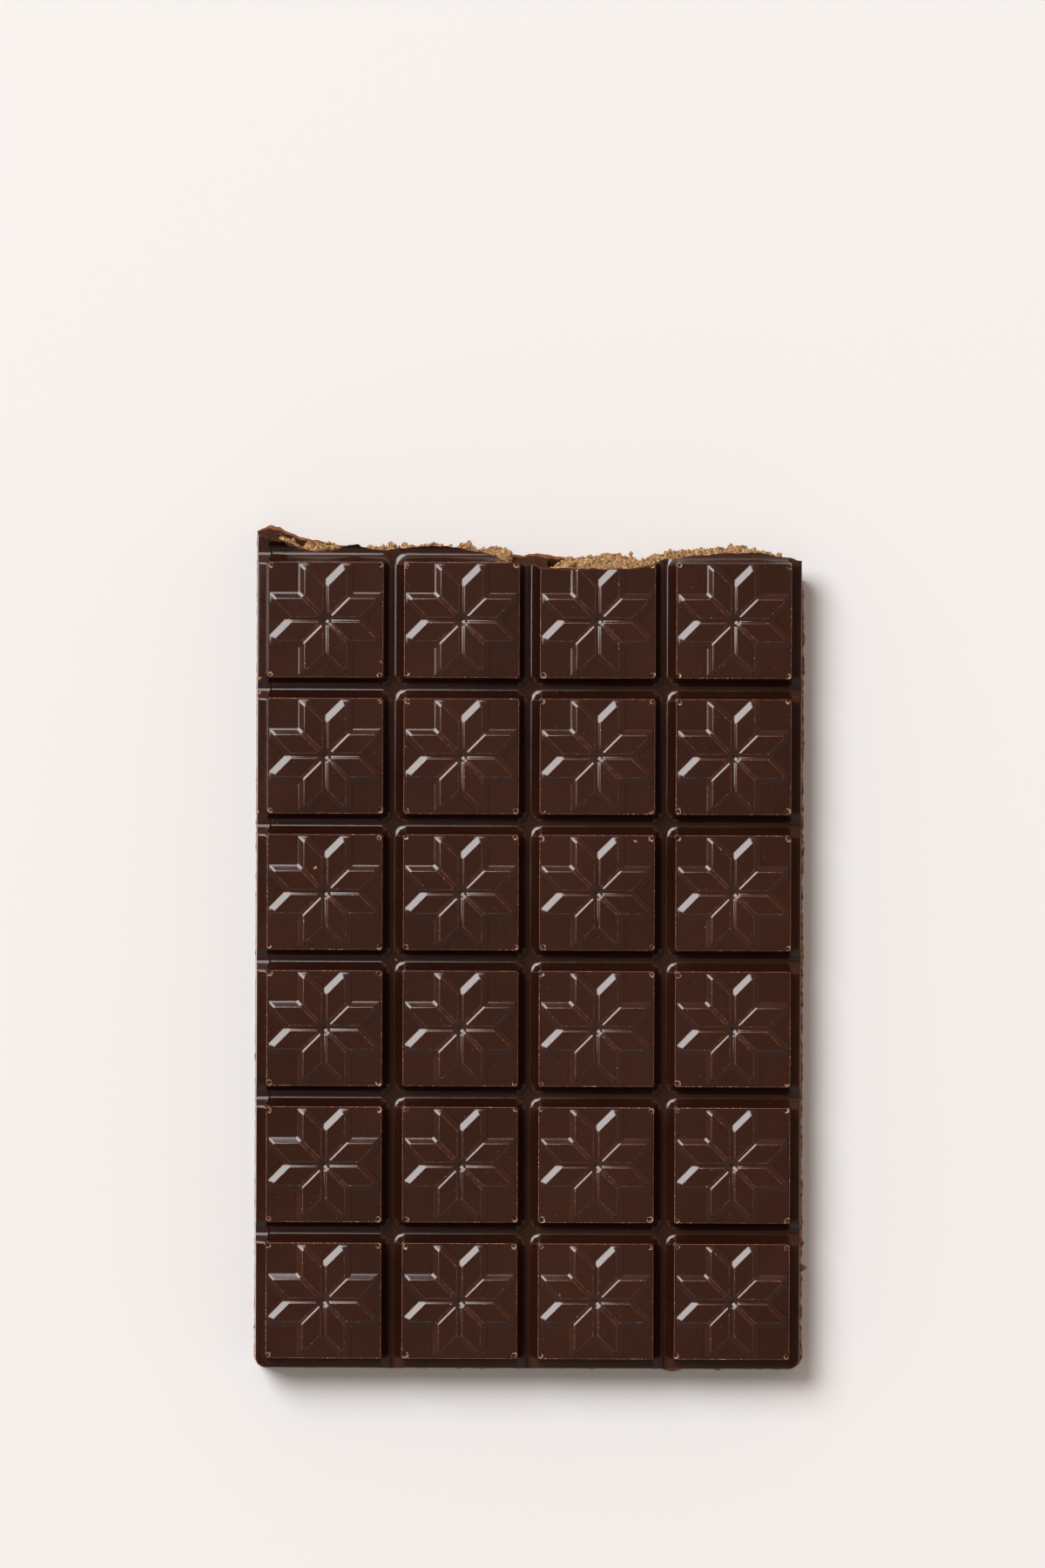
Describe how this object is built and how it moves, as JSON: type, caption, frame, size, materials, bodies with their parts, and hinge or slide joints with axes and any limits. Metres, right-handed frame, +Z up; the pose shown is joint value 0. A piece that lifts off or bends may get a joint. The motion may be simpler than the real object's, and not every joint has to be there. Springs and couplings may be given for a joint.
{
  "type": "chocolate bar",
  "caption": "Filled dark chocolate bar of moulded squares, each with a raised petalled star, snapped across at one end so that its crumbly filling shows.",
  "frame": {"origin": "middle of the bounding box at the flat back, on the surface that the bar lies on", "axes": "+Z up through the moulded face, +Y along the bar towards its snapped end, +X across the columns"},
  "size_m": [0.0786, 0.121, 0.0089],
  "materials": {
    "chocolate": "moulded dark chocolate, soft gloss, with worn tan edges and a matt snapped face",
    "filling": "dry and crumbly tan paste"
  },
  "bodies": {
    "root": {"chocolate": "chocolate", "filling_left": "filling", "filling_right": "filling"}
  },
  "joints": []
}
